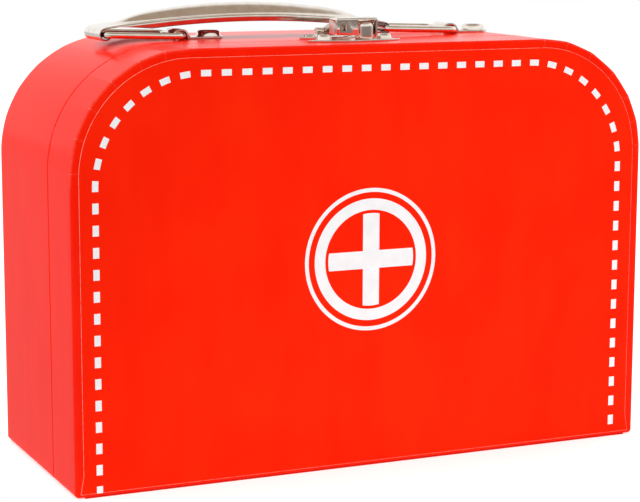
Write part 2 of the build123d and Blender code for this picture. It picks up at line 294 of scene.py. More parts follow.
# %% [markdown]
# ## Inside papers, board and hinge cloth
# Inside, the boards are lined with an uncoated paper. Raw greyboard is pulped waste paper: grey
# brown with darker flecks. The hinge is a strip of book cloth, whose weave gives it its strength.

# %% Board, lining and cloth finishes


def lining_build(place):
    """Uncoated paper: short fibres along one way, over wide soft clouds."""
    fibre = place.stretched(1.0, 1.0, 0.35).noise(0.8, 4.0, 0.65)
    cloud = place.noise(22.0, 2.0)
    tint = (0.5 * fibre + 0.5 * cloud).ramp(0.3, 0.7)
    colour = tint.blend(from_srgb(226, 220, 208), from_srgb(240, 236, 227))
    return varying(place, colour, 0.78 + 0.12 * fibre, fibre, 0.03)


def board_build(place):
    """Greyboard: fine dark flecks over pulp clouds, and a rough face."""
    fleck = place.noise(0.7, 4.0, 0.7)
    cloud = place.noise(9.0, 3.0)
    tint = (0.6 * fleck + 0.4 * cloud).ramp(0.35, 0.65)
    colour = tint.blend(from_srgb(138, 130, 118), from_srgb(178, 169, 155))
    return varying(place, colour, 0.85 + 0.1 * fleck, fleck, 0.05)


def cloth_build(place):
    """Book cloth: the sum of two sine waves, one along each set of threads, gives the weave."""
    thread = 0.5
    turn = 2 * math.pi / (thread * MM)
    warp = place.math("SINE", place.part("X") * turn)
    weft = place.math("SINE", place.part("Y") * turn)
    weave = 0.5 + 0.25 * (warp + weft)
    cloud = place.noise(14.0, 2.0)
    tint = (0.7 * weave + 0.3 * cloud).ramp(0.1, 0.9)
    colour = tint.blend(from_srgb(196, 20, 14), from_srgb(240, 44, 32))
    return varying(place, colour, 0.7 + 0.15 * weave, weave, 0.06)


lining_finish = finish("lining_paper_cream", lining_build, Specular_IOR_Level=0.3)
board_finish = finish("greyboard_flecked", board_build, Specular_IOR_Level=0.25)
cloth_finish = finish("book_cloth_red", cloth_build, Specular_IOR_Level=0.3)
print("inside finishes:", lining_finish.name, board_finish.name, cloth_finish.name)

# %% [markdown]
# ## Nickel plate
# The handle, links, staples and lock are cheap pressed steel, barrel polished and nickel plated:
# bright, slightly warm, with fine rubbing marks and a soft haze that breaks up the reflections.
# Polishing hardly reaches the inner side of the grip and its turned-down edges: they are duller,
# and are made darker too, as painted shade under the handle.

# %% Metal finish


def nickel(name, dull, bright, gloss):
    """Plated steel: its tint drifts between two tones, and haze and rubbing marks soften it."""

    def build(place):
        haze = place.noise(4.0, 3.0)
        rub = place.stretched(0.15, 1.0, 1.0).noise(0.25, 2.0, 0.6)
        colour = haze.ramp(0.3, 0.7).blend(dull, bright)
        roughness = gloss + 0.07 * haze + 0.04 * rub
        return varying(place, colour, roughness, 0.8 * haze + 0.2 * rub, 0.008)

    return finish(name, build, Metallic=1.0)


nickel_finish = nickel("nickel_plate", from_srgb(230, 221, 210), from_srgb(242, 235, 226), 0.09)
# Darker plate for the grip's inner side and skirt: duller where polish misses it, and darker as
# painted shade under the handle.
shaded_inside_finish = nickel("nickel_plate_inside_shaded", from_srgb(190, 180, 174), from_srgb(204, 195, 189),
                       0.14)
print("metal finishes:", nickel_finish.name, shaded_inside_finish.name)

# %% [markdown]
# ## Surfaces from grids
# Every new piece is a grid of points worked out by a formula, so one helper turns any such grid
# into a mesh. It can close the grid in either direction, and it turns a closed piece's faces
# outward by the sign of its volume.

# %% Grid to piece


def grid(x, y, z):
    """Points from their coordinates, each stretched to the shape that the three share."""
    return np.stack(np.broadcast_arrays(x, y, z), axis=-1)


def surface(name, points, material, around=False, across=False, capped=False, closed=True,
            carried=None):
    """Piece from grids shaped (patches, rows, columns, 3) in millimetres.

    around joins the last row to the first, and across the last column to the first. capped closes
    the first and the last row with one face each. closed says that the piece encloses a volume.
    carried maps attribute names to one number for each point.
    """
    points = points if points.ndim == 4 else points[None]
    patches, rows, columns = points.shape[:3]
    index = np.arange(patches * rows * columns).reshape(patches, rows, columns)
    if around:
        index = np.concatenate([index, index[:, :1]], axis=1)
    if across:
        index = np.concatenate([index, index[:, :, :1]], axis=2)
    corners = [index[:, :-1, :-1], index[:, 1:, :-1], index[:, 1:, 1:], index[:, :-1, 1:]]
    faces = np.stack(corners, axis=-1).reshape(-1, 4)
    places = points.reshape(-1, 3) * MM
    middle = places.mean(axis=0)
    first, second, third, fourth = (places[faces[:, side]] - middle for side in range(4))
    volume = np.sum(first * (np.cross(second, third) + np.cross(third, fourth)))
    ends = [index[0, 0, :columns], index[0, -1, :columns][::-1]] if capped else []
    if closed and volume < 0:
        faces = faces[:, ::-1]
        ends = [end[::-1] for end in ends]
    mesh = bpy.data.meshes.new(name)
    mesh.from_pydata(places, [], [*faces.tolist(), *(end.tolist() for end in ends)])
    for title, numbers in (carried or {}).items():
        layer = mesh.attributes.new(title, "FLOAT", "POINT")
        layer.data.foreach_set("value", numbers.ravel().astype(np.float32))
    mesh.shade_smooth()
    mesh.materials.append(material)
    piece = added(name, mesh)
    print(f"{name}: {len(places)} points, {len(faces)} faces")
    return piece


def thicken(piece, depth, offset=-1.0):
    """Gives an open sheet its thickness, in millimetres."""
    wall = piece.modifiers.new("thickness", "SOLIDIFY")
    wall.thickness = depth * MM
    wall.offset = offset
    wall.use_even_offset = False


print("grid builder ready")

# %% [markdown]
# ## The silhouette
# Both halves share one outline: straight walls and foot, a wide round at each upper corner, a
# small one at each lower corner. Each upper corner is board kerfed and bent, so it is not a true
# round: it goes over in flats between kinks, where the folded-in paper is also slit.

# %% Outline of the case
left_kinks = np.array([3.0, 19.0, 34.0, 49.5, 65.0, 78.0])
right_kinks = np.array([1.0, 14.5, 29.5, 46.0, 61.0, 74.5, 87.0])
kink_lift = 0.17
kink_fade = 12.0
flat_share = 0.65
slit_reach = 0.35


def bend_angles(kinks):
    """Angles across a quarter round: even steps, with close ones at each kink."""
    near = np.array([-2, -1, 0, 1, 2]) * slit_reach
    even = np.arange(0.0, 90.1, 2.5)
    clear = np.min(np.abs(even[:, None] - kinks), axis=1) > 3 * slit_reach
    angles = np.concatenate([even[clear], (kinks[:, None] + near).ravel(), [0.0, 90.0]])
    return np.unique(np.clip(angles, 0.0, 90.0))


def flats(angles, kinks):
    """How far the paper lies inside the true round: a chord between kinks, lifted at the kinks."""
    knots = np.concatenate([[0.0], kinks, [90.0]])
    after = np.clip(np.searchsorted(knots, angles, side="right"), 1, len(knots) - 1)
    low, high = knots[after - 1], knots[after]
    half, middle = np.radians(high - low) / 2, np.radians(high + low) / 2
    chord = corner_radius * (1 - np.cos(half) / np.cos(np.radians(angles) - middle))
    window = np.clip(angles / kink_fade, 0, 1) * np.clip((90 - angles) / kink_fade, 0, 1)
    return flat_share * chord - kink_lift * window


left_bend = bend_angles(left_kinks)
right_bend = bend_angles(right_kinks)
print("samples in a corner:", len(left_bend), "left,", len(right_bend), "right")

# %% [markdown]
# The whole outline is eight runs of samples, always in the same order, so a grid can be made by
# stacking outlines at different insets. `along` gives each run its own number, for what differs
# between the walls, the corners and the top.

# %% Samples round the case
wall_share = np.concatenate([np.arange(0.006, 0.1, 0.006), np.arange(0.12, 0.99, 0.035)])
ridge_share = np.linspace(-1, 1, 50)[1:-1]
foot_share = np.linspace(1, -1, 50)[1:-1]
heel_bend = np.linspace(0, 90, 9)
run_lengths = [len(run) for run in (wall_share, left_bend, ridge_share, right_bend, wall_share)]
run_lengths += [len(heel_bend), len(foot_share), len(heel_bend)]
print("outline samples:", sum(run_lengths))


def silhouette(inset, foot_gain=0.0):
    """x and z of points around the case: up the left wall, over the top, down and back.

    inset is a column, one outline to each of its rows. Each upper corner is centre + radius
    (cosine, sine), and the straight runs join the corners. foot_gain lets the outline reach lower
    than its inset does elsewhere.
    """
    side, top, foot = half_width - inset, top_z - inset, foot_z + inset - foot_gain
    crown = corner_radius - inset
    heel = np.maximum(foot_radius - inset, 0.25)
    low, high = foot + heel, top - crown
    wall = low + (high - low) * wall_share
    bends = (left_bend, right_bend, heel_bend)
    turn_left, turn_right, turn_heel = (np.radians(bend) for bend in bends)
    runs = [
        (-side + 0 * wall, wall),
        (crown - side - crown * np.cos(turn_left), high + crown * np.sin(turn_left)),
        ((side - crown) * ridge_share, top + 0 * ridge_share),
        (side - crown + crown * np.sin(turn_right), high + crown * np.cos(turn_right)),
        (side + 0 * wall, wall[..., ::-1]),
        (side - heel + heel * np.cos(turn_heel), low - heel * np.sin(turn_heel)),
        ((side - heel) * foot_share, foot + 0 * foot_share),
        (heel - side - heel * np.sin(turn_heel), low - heel * np.cos(turn_heel)),
    ]
    return [np.concatenate([run[axis] for run in runs], axis=-1) for axis in (0, 1)]


def along(wall, left, ridge, right, heel=0.0, foot=0.0):
    """One number for each outline sample, from the numbers of its runs."""
    runs = [wall, left, ridge, right, wall, heel, foot, heel]
    return np.concatenate([np.broadcast_to(run, size) for run, size in zip(runs, run_lengths)])


outward = along(0.0, np.pi - np.radians(left_bend), np.pi / 2, np.pi / 2 - np.radians(right_bend))
outward[: len(wall_share)] = np.pi
outward_x, outward_z = np.cos(outward), np.sin(outward)
sunk = along(0.0, flats(left_bend, left_kinks), 0.0, flats(right_bend, right_kinks))
print(f"corner flats lie {sunk.max():.2f} mm inside the round, kinks {-sunk.min():.2f} mm proud")

# %% [markdown]
# ## The paper wrap of one half
# A strip of printed paper is glued round the wall. At the face it folds over the board's edge and
# is slit at each kink so that it lies flat; at the seam it folds over the rim. The wrap is one
# closed surface: a profile across the strip, folded at both edges, carried round the silhouette.

# %% Profile across the wrap
paper = 0.15
fold_round = 0.5
rim_round = 0.55
turn_in = 12.0
rim_depth = 2.3
quarter = np.radians(np.linspace(0, 90, 6))


def smooth_step(value, low, high):
    """0 below low, 1 above high, and a smooth rise between them."""
    share = np.clip((value - low) / (high - low), 0, 1)
    return share * share * (3 - 2 * share)


def kink_line(angles, kinks):
    """1 on a kink, falling to 0 at the nearest samples beside it."""
    away = np.min(np.abs(angles[:, None] - kinks), axis=1)
    return np.clip(1 - away / slit_reach, 0, 1)


def folded_profile(depth):
    """Insets and distances from the outer face, across a strip whose wall is depth deep.

    From the turned-in edge out over the fold, back along the wall and in over the rim, then the
    same way back on the glued side, one paper thickness inside.
    """
    face = np.array([turn_in, 10.0, 7.0, 5.0, 4.0, 3.4, 2.8, 2.2, 1.6, 1.1])
    steps = np.linspace(fold_round + 0.5, depth - rim_round - 0.4, max(6, int(depth / 2.5)))
    rim = np.array([0.7, 1.4, rim_depth])
    outer_inset = [face, fold_round * (1 - np.sin(quarter)), 0 * steps,
                   rim_round * (1 - np.cos(quarter)), rim]
    outer_depth = [0 * face, fold_round * (1 - np.cos(quarter)), steps,
                   depth - rim_round * (1 - np.sin(quarter)), depth + 0 * rim]
    bend, lip, back = fold_round - paper, rim_round - paper, quarter[::-1]
    inner_inset = [rim[::-1], rim_round - lip * np.cos(back), paper + 0 * steps,
                   fold_round - bend * np.sin(back), face[::-1]]
    inner_depth = [depth - paper + 0 * rim, depth - rim_round + lip * np.sin(back), steps[::-1],
                   fold_round - bend * np.cos(back), paper + 0 * face]
    return np.concatenate(outer_inset + inner_inset), np.concatenate(outer_depth + inner_depth)


print("points across the lid's wrap:", len(folded_profile(lid_high[1] - lid_low[1])[0]))

# %% [markdown]
# Carried round, the profile sinks a little between kinks, is pressed in at each slit, and at the
# seam the two halves stand a hair apart that closes towards the foot, where the hinge holds them.
# The paper's white core shows where the fold was rubbed, most of all at the slits.

# %% Wrap surfaces
slit_depth = 0.22
seam_rest = (14.0, 34.0)
least_gap = 0.04
flats_reach = 16.0
flats_rest = 0.35
wear_place = 0.3 * fold_round
wear_width = 0.5
wear_straight, wear_corner, wear_top, wear_slit = 0.03, 0.12, 0.05, 0.85
slit_scuff = 0.22


def wrap(name, outer_y, edge_y, body, node, flatness):
    """Folded strip of one half, from its outer face to its seam edge.

    Each point is the silhouette's at the profile's inset, moved inward by flatness times the
    corner's flats, and as far from the outer face as the profile's depth.
    """
    inward = np.sign(edge_y - outer_y)
    inset, depth = (line[:, None] for line in folded_profile(abs(edge_y - outer_y)))
    x, z = silhouette(inset)
    fade = flats_rest + (1 - flats_rest) * np.exp(-((depth / flats_reach) ** 2))
    shift = flatness * sunk * fade * np.clip(1 - inset / turn_in, 0, 1)
    x, z = x - outward_x * shift, z - outward_z * shift
    left_slits, right_slits = kink_line(left_bend, left_kinks), kink_line(right_bend, right_kinks)
    slits = along(0.0, left_slits, 0.0, right_slits)
    on_face = (depth < paper / 2) * smooth_step(inset, 1.0, 1.8)
    meet = smooth_step(depth / depth.max(), 0.5, 1.0) * (abs(edge_y - seam_y) - least_gap)
    closing = meet * (1 - smooth_step(z, *seam_rest))
    y = outer_y + inward * (depth + slit_depth * on_face * slits + closing)
    off_fold = np.hypot(inset - wear_place, depth - wear_place) / wear_width
    ruffled = wear_straight + wear_corner * along(0.0, 1.0, wear_top, 1.0) + wear_slit * slits
    worn = np.clip(np.exp(-(off_fold**2)) * ruffled + slit_scuff * on_face * slits, 0, 1)
    piece = surface(name, grid(x, y, z), wrap_finish, around=True, across=True,
                    carried={"worn": worn})
    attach(piece, body)
    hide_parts(node)
    return piece


lid_wrap = wrap("lid_wrap", lid_low[1], lid_high[1], "lid", "lid_wrap_paper", 1.0)
body_wrap = wrap("body_wrap", body_high[1], body_low[1], "case_body", "body_wrap_paper", 0.3)

# %% [markdown]
# ## The front and back sheets
# A printed sheet, cut a little smaller than the face, covers the slit edges of the wrap. Its cut
# edge shows the paper's white core as a fine light line, and its lower corners spread towards the
# case's own. Each sheet is made of rings, outlines at growing insets, and its flat middle is one
# face.

# %% Cover sheets
sheet_margin = 3.4
sheet_foot_margin = 1.2
sheet_paper = 0.2
step_down = 0.1
core_line = 0.11
edge_round = 0.06
corner_spread = 1.6
corner_rise = 9.0
cut_insets = [0.0, 0.04, core_line]
sheet_insets = np.array([*cut_insets, core_line + 0.05, 0.6, 2.0, 5.0, 8.0, 8.6, 9.4, 12.0])


def cover_sheet(name, face_y, inward, body, node):
    """Flat sheet from its cut edge to its middle, a step lower inside the wrap's turned-in edge.

    Near the foot it widens in step with how near the foot a point is, up to corner_spread.
    """
    inset = (sheet_margin + sheet_insets)[:, None]
    x, z = silhouette(inset, foot_gain=sheet_margin - sheet_foot_margin)
    x = x * (1 + corner_spread / half_width * np.clip(1 - z / corner_rise, 0, 1))
    lowered = step_down * smooth_step(inset, turn_in - 0.5, turn_in + 0.9)
    lowered[0] += edge_round
    worn = (np.arange(len(inset)) < len(cut_insets)) * 1.0
    shown, glued = (grid(x, face_y + inward * (lowered + back), z) for back in (0.0, sheet_paper))
    points = np.concatenate([shown[::-1], glued])
    marks = np.broadcast_to(np.concatenate([worn[::-1], worn])[:, None], points.shape[:2])
    piece = surface(name, points, label_finish, across=True, capped=True, carried={"worn": marks})
    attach(piece, body)
    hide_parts(node)


cover_sheet("front_sheet", front_y, 1, "lid", "front_label_paper")
cover_sheet("back_sheet", back_y, -1, "case_body", "back_cover_paper")

# %% [markdown]
# ## The print: dashes, rings and a plain cross
# White ink stands a few hundredths of a millimetre above the sheet. The dashes follow a line that
# runs up one side, over the rounded top and down the other, at an even pitch, so each dash is a
# small patch bent along that line.

# %% Dashed border
print_shift = -0.5
dash_side = 114.71
dash_top = 161.62
dash_round = 42.83
dash_pitch = 8.44
first_dash = 2.31
dash_count = 61
dash_length = 4.1
dash_width = 2.45
ink_depth = 0.03


def border(run):
    """Point (x, z) and heading on the border line, at a distance run from its left foot."""
    straight = dash_top - dash_round
    arc = np.pi / 2 * dash_round
    across = 2 * (dash_side - dash_round)
    left = np.clip((run - straight) / dash_round, 0, np.pi / 2)
    right = np.clip((run - straight - arc - across) / dash_round, 0, np.pi / 2)
    turned = left + right
    up = np.minimum(run, straight)
    over = np.clip(run - straight - arc, 0, across)
    down = np.maximum(run - straight - 2 * arc - across, 0)
    x = print_shift - dash_side + dash_round * (1 - np.cos(left)) + over
    x = x + dash_round * np.sin(right)
    z = up + dash_round * np.sin(left) - dash_round * (1 - np.cos(right)) - down
    return x, z, turned


def print_piece(name, x, y, z, body, **closing):
    """Ink laid on a sheet: a thin patch whose outer face stands ink_depth proud."""
    piece = surface(name, grid(x, y, z), ink_finish, closed=False, **closing)
    piece.data.shade_flat()
    thicken(piece, 2 * ink_depth, offset=0.0)
    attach(piece, body)


def dashes(name, face_y, body):
    """All the dashes of one face as patches four points long and two wide."""
    middle = first_dash + dash_pitch * np.arange(dash_count)
    run = middle[:, None] + dash_length * np.linspace(-0.5, 0.5, 4)
    run = np.maximum(run, foot_z + sheet_foot_margin)
    x, z, turned = border(run)
    offset = dash_width * np.array([-0.5, 0.5])
    x = x[..., None] - np.cos(turned)[..., None] * offset
    z = z[..., None] + np.sin(turned)[..., None] * offset
    print_piece(name, x, face_y, z, body)


dashes("front_dashes", front_y, "lid")
dashes("back_dashes", back_y, "case_body")

# %% [markdown]
# A ring is a strip two points wide, closed round a circle. The cross is three grids: the upright
# bar and two arms, whose ends follow one circle just inside the ring.

# %% Rings and cross
emblem_x = -0.39
emblem_z = 84.91
thin_ring = (27.3, 28.9)
broad_ring = (20.1, 24.7)
cross_reach = 18.8
cross_half = 3.6
ring_turn = np.linspace(0, 2 * np.pi, 129)[:-1, None]
emblem_y = front_y + step_down


def ring(name, radii):
    """Flat ring between two radii about the emblem's middle."""
    radii = np.array(radii)
    x = emblem_x + radii * np.cos(ring_turn)
    z = emblem_z + radii * np.sin(ring_turn)
    print_piece(name, x, emblem_y, z, "lid", around=True)


def cross():
    """Upright bar and two arms, with their ends on one circle."""
    side = np.linspace(-cross_half, cross_half, 13)
    end = np.sqrt(cross_reach**2 - side**2)
    length = np.linspace(0, 1, 13)[:, None]
    halves = []
    for sign in (-1, 1):
        halves.append((side + 0 * length, sign * end * length))
        reach = cross_half + (end - cross_half) * length
        halves.append((sign * reach, side + 0 * length))
    x = emblem_x + np.stack([half[0] for half in halves])
    z = emblem_z + np.stack([half[1] for half in halves])
    print_piece("front_cross", x, emblem_y, z, "lid")


ring("front_ring_thin", thin_ring)
ring("front_ring_broad", broad_ring)
cross()

# %% [markdown]
# ## The hinge cloth
# One strip of book cloth runs under the foot and is the case's only hinge. It is one flat sheet
# under the lid in front of the seam and the body behind it, its rows close together about the seam.

# %% Hinge cloth
cloth_half, _, cloth_depth = box_mm("hinge_cloth_body")[1]
hinge_reach = 5.0


def hinge_strip():
    """Closed flat strip: rows from front to back, close together at the seam, up and round.

    Each row runs across the under side and comes back along the glued side, cloth_depth higher.
    """
    rows = np.concatenate([np.linspace(front_y, seam_y - hinge_reach, 8)[:-1],
                           np.linspace(seam_y - hinge_reach, seam_y + hinge_reach, 21),
                           np.linspace(seam_y + hinge_reach, back_y, 16)[1:]])
    across = np.linspace(-cloth_half, cloth_half, 61)
    side = np.concatenate([across, across[::-1]])
    height = np.concatenate([0 * across, cloth_depth + 0 * across])
    return grid(side, rows[:, None], height)


hinge_cloth = surface("hinge_cloth", hinge_strip(), cloth_finish, across=True, capped=True)
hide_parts("hinge_cloth_lid", "hinge_cloth_body")
(seam_y - hinge_reach) * MM
(seam_y + hinge_reach) * MM
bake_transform(hinge_cloth)

# %% [markdown]
# ## The handle
# The grip is one pressed steel sheet. Seen from the side it is a long bow whose ends curl round
# the wire links; along its top a crown is raised, and its long edges are turned down as a skirt
# that toes in a little. The bow's radius follows from its length and rise, and the crown is a
# spindle turned about a line under the plate: a long flat arc, and a steeper one at each end.

# %% Sizes of the grip
grip_low, grip_high = box_mm("handle_grip")
curl_radius = 2.7
curl_sheet = 0.7
curl_sweep = math.radians(230)
grip_x = (grip_low[0] + grip_high[0]) / 2
grip_y = (grip_low[1] + grip_high[1]) / 2
curl_z = grip_low[2] + curl_radius
grip_half = (grip_high[0] - grip_low[0]) / 2 - curl_radius
plate_rise = 7.4
crown_rise = grip_high[2] - curl_z - plate_rise
crown_width = 18.0
crown_flat = 244.0
crown_shoulder = 21.6
crown_margin = 1.3
crown_fillet = 1.3
end_half_width = 10.0
middle_half_width = (grip_high[1] - grip_low[1]) / 2
bow = (grip_half**2 + plate_rise**2 - curl_radius**2) / (2 * (plate_rise - curl_radius))
bow_z = plate_rise - bow
bow_turn = math.asin(grip_half / (bow - curl_radius))
crown_axis = plate_rise - ((crown_width / 2) ** 2 - crown_rise**2) / (2 * crown_rise)
crown_base = plate_rise + crown_rise - crown_flat
crown_turn = math.asin((grip_half - crown_shoulder) / crown_flat)
tip_x = crown_shoulder - crown_margin
tip_z = crown_base + crown_flat * math.cos(crown_turn) - crown_axis
tip_reach = tip_z * math.cos(crown_turn) - tip_x * math.sin(crown_turn)
crown_fall = (tip_x**2 + tip_z**2) / (2 * tip_reach)
fall_x = (crown_flat - crown_fall) * math.sin(crown_turn)
fall_z = crown_base + (crown_flat - crown_fall) * math.cos(crown_turn)
print(f"bow radius {bow:.1f} mm, crown {crown_rise:.1f} mm high, its ends fall at {crown_fall:.1f}")

# %% [markdown]
# The sheet is rows along the bow, each a cross-section whose heights change along it: the flat
# sinks slightly towards its edges, the crown stands on it, and the edge bends down into the skirt.
# Solidify then gives the sheet its thickness, with the duller, darker plating on its inner side and
# on the skirt: partly less polish, partly painted shade.

# %% Handle grip
skirt_depth = 2.8
skirt_end = grip_half - 2.0
skirt_taper = 17.0
skirt_bend = 0.9
skirt_toe = 12.0
skirt_top = 15.0
skirt_strips = 4
least_skirt = 0.35
flange_start = 5.0
flange_drop = 0.3
flange_curve = 1.5
column_ease = np.pi / 2 * 0.92


def crown_height(x, y):
    """Height of the crown above the bow: the spindle's less the bow's, eased where they meet."""
    far = np.abs(x)
    long_arc = crown_base + np.sqrt(crown_flat**2 - far**2)
    fall_arc = fall_z + np.sqrt(np.maximum(crown_fall**2 - (far - fall_x) ** 2, 0))
    radius = np.where(far < grip_half - crown_shoulder, long_arc, fall_arc) - crown_axis
    dome = crown_axis + np.sqrt(np.maximum(np.maximum(radius, 0) ** 2 - y**2, 0))
    above = dome - (bow_z + np.sqrt(bow**2 - far**2))
    return (above + np.sqrt(above**2 + crown_fillet**2)) / 2


def grip_sheet():
    """Rows along the bow with a curl at each end, columns across from skirt to skirt.

    A point is its row's centre of curvature, plus radius and lift along the row's own direction.
    """
    curl = np.linspace(0, 1, 22) * curl_sweep
    plate = np.linspace(-1, 1, 121)[1:-1] * bow_turn
    turn = np.concatenate([-bow_turn - curl[::-1], plate, bow_turn + curl])[:, None]
    kind = np.repeat([-1.0, 0.0, 1.0], [len(curl), len(plate), len(curl)])[:, None]
    radius = np.where(kind == 0, bow, curl_radius)
    reach = np.where(kind == 0, bow * np.sin(turn), kind * grip_half)
    half = end_half_width + (middle_half_width - end_half_width) * (1 - (reach / grip_half) ** 2)
    skirt = np.clip((skirt_end - np.abs(reach)) / skirt_taper, 0, 1) * skirt_depth
    skirt = np.maximum(skirt, least_skirt)
    bend = np.minimum(skirt_bend, 0.75 * skirt)
    share = np.sin(np.linspace(-1, 1, 61) * column_ease) / math.sin(column_ease)
    turned = np.radians(np.linspace(skirt_top, 90 + skirt_toe, 7))
    hang = (skirt - bend * (1 - np.cos(turned[-1]))) * np.linspace(0.25, 1, 4)
    toe = math.tan(math.radians(skirt_toe))
    flat_y = share * (half - bend)
    full = (skirt - least_skirt) / (skirt_depth - least_skirt)
    side_y = half - bend + bend * np.sin(turned)
    side_y = np.concatenate([side_y, side_y[:, -1:] - hang * toe], axis=1)
    side_n = -flange_drop * full - bend * (1 - np.cos(turned))
    side_n = np.concatenate([side_n, side_n[:, -1:] - hang], axis=1)
    across = np.concatenate([-side_y[:, ::-1], flat_y, side_y], axis=1)
    outward_share = (np.abs(flat_y) - flange_start) / (half - bend - flange_start)
    droop = flange_drop * full * np.clip(outward_share, 0, 1) ** flange_curve
    raised = crown_height(reach, flat_y) * (kind == 0) - droop
    lift = np.concatenate([side_n[:, ::-1], raised, side_n], axis=1)
    x = kind * grip_half + (radius + lift) * np.sin(turn)
    z = np.where(kind == 0, bow_z, 0.0) + (radius + lift) * np.cos(turn)
    return grid(grip_x + x, grip_y + across, curl_z + z)


grip_points = grip_sheet()
handle_grip = surface("handle_grip_sheet", grip_points, nickel_finish, closed=False)
# The skirt strips take the darker plate, which paints the shade under the handle into them.
strips = np.arange(grip_points.shape[1] - 1)
on_skirt = (np.minimum(strips, strips[::-1]) < skirt_strips).astype(np.int32)
handle_grip.data.polygons.foreach_set("material_index", np.tile(on_skirt, grip_points.shape[0] - 1))
thicken(handle_grip, curl_sheet, offset=-1.0)
handle_grip.data.materials.append(shaded_inside_finish)
handle_grip.modifiers["thickness"].material_offset = 1
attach(handle_grip, "handle")
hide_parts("handle_grip")

# %% [markdown]
# ## The wire links
# Each link is a length of thick wire bent to a rectangle with round corners. A circle carried
# along that path makes it: the path gives a point and a heading, and the circle stands across it.

# %% Wire links
wire_radius = 1.3
link_bend = 4.0


def link_loop(node, name, body):
    """Wire carried round a rounded rectangle that leans with the link.

    The path runs in the link's own plane: u from its pin to its far bar, v across it. Each ring is
    a circle across the path's heading, and the whole is then turned by the link's lean.
    """
    low, high = box_mm(node)
    pin_x, far_x = high[0] - wire_radius, low[0] + wire_radius
    pin_z, far_z = low[2] + wire_radius, high[2] - wire_radius
    middle_y, half = (low[1] + high[1]) / 2, (high[1] - low[1]) / 2 - wire_radius
    length = math.hypot(far_x - pin_x, far_z - pin_z)
    steps = np.radians(np.linspace(0, 90, 9))
    long_run = np.linspace(link_bend, length - link_bend, 8)[1:-1]
    cross_run = np.linspace(-half + link_bend, half - link_bend, 6)[1:-1]
    out, back = long_run, long_run[::-1]
    corner_u, corner_v = link_bend * (1 - np.sin(steps)), link_bend * (1 - np.cos(steps))
    u = [out, length - corner_u, np.full(4, length), length - corner_u[::-1],
         back, corner_u, np.zeros(4), corner_u[::-1]]
    v = [np.full(6, -half), -half + corner_v, cross_run, half - corner_v[::-1],
         np.full(6, half), half - corner_v, cross_run[::-1], -half + corner_v[::-1]]
    u, v = np.concatenate(u), np.concatenate(v)
    heading_u = np.roll(u, -1) - np.roll(u, 1)
    heading_v = np.roll(v, -1) - np.roll(v, 1)
    size = np.hypot(heading_u, heading_v)
    side_u, side_v = heading_v / size, -heading_u / size
    turn = np.linspace(0, 2 * np.pi, 21)[:-1]
    offset, rise = wire_radius * np.cos(turn), wire_radius * np.sin(turn)
    loop_u = u[:, None] + side_u[:, None] * offset
    loop_v = v[:, None] + side_v[:, None] * offset
    lean = math.atan2(far_z - pin_z, pin_x - far_x)
    x = pin_x - loop_u * math.cos(lean) + rise * math.sin(lean)
    z = pin_z + loop_u * math.sin(lean) + rise * math.cos(lean)
    points = grid(x, middle_y + loop_v, z)
    piece = surface(name, points, nickel_finish, around=True, across=True)
    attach(piece, body)
    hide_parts(node)


link_loop("link_left", "link_wire_left", "link_left")
link_loop("link_right", "link_wire_right", "link_right")

# %% [markdown]
# ## Rivets and eyelets
# The staples and lock plates are held by tubular rivets: a tube whose upper end is rolled over as
# a ring and whose lower end is spread over a washer. One closed profile, turned about its axis,
# makes the whole rivet; each pair is one piece of two islands.

# %% Tubular rivets
roll_power = 1.8
spread_rise = 0.6
spread_width = 1.0
spread_round = 0.2


def rivets(name, node, head, shank, bore, height, rise=0.0):
    """Two tubes with rolled heads, turned about upright axes near the ends of the node's box.

    The roll's radius goes as a cosine from head to bore, and its height as a power of the sine.
    head, shank and bore are radii; rise is how much taller the roll is than the modelled one.
    """
    low, high = box_mm(node)
    y = (low[1] + high[1]) / 2
    centres = [low[0] + head, high[0] - head]
    seat = high[2] - height
    roll = np.radians(np.linspace(0, 180, 17))
    ring_radius, ring_half = (head + bore) / 2, (head - bore) / 2
    foot, end = low[2] + spread_rise, low[2]
    tube_radius = [bore, bore, shank + spread_width / 2, shank + spread_width,
                   shank + 0.9 * spread_width, shank, shank, shank]
    tube_level = [foot + 1, end + spread_round, end, end + spread_round, foot, foot, foot + 1, seat]
    radius = np.concatenate([ring_radius + ring_half * np.cos(roll), tube_radius])
    level = np.concatenate([seat + (height + rise) * np.sin(roll) ** roll_power, tube_level])
    turn = np.linspace(0, 2 * np.pi, 41)[:-1, None]
    out_x, out_y = radius * np.cos(turn), radius * np.sin(turn)
    islands = [grid(x + out_x, y + out_y, level) for x in centres]
    piece = surface(name, np.stack(islands), nickel_finish, around=True, across=True)
    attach(piece, "lid" if "lid" in node else "case_body")
    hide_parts(node)


rivets("rivets_staple", "staple_rivets", head=5.2, shank=3.8, bore=3.2, height=1.7, rise=0.6)
rivets("eyelets_lid_plate", "lid_plate_eyelets", head=3.2, shank=1.7, bore=1.1, height=1.5,
       rise=0.5)
rivets("rivets_body_plate", "body_plate_rivets", head=2.5, shank=1.2, bore=0.7, height=0.9)

# %% [markdown]
# ## Pressed steel with softened edges
# The model has the staples, plates and hasp in their places, but a press leaves no knife edges. A
# copy of each has its triangles joined into whole faces, and then a fine bevel along every sharp
# edge. A staple's hump also slopes more gently to its tab, and the lid's plate loses its boxed
# catch, which the next piece replaces.

# %% Staples and lock
staple_pin = 61.6
strap_ease = 1.8
plate_top = top_z + 0.9
join_angle = math.radians(1.5)
sharp_angle = math.radians(38)


def eased_strap(places, pin_x):
    """Moves a staple's hump along: it stands steep by the link and slopes gently to its tab.

    Points above the case's top move towards the tab by strap_ease times a share that rises over
    4 mm beside the pin and falls over 3 mm before the tab.
    """
    past, high = places[:, 0] / MM - pin_x, places[:, 2] / MM - top_z
    slope = np.clip((past + 2.5) / 4, 0, 1) * np.clip((6.5 - past) / 3, 0, 1)
    places[:, 0] += strap_ease * slope * smooth_step(high, -0.5, 0.5) * MM


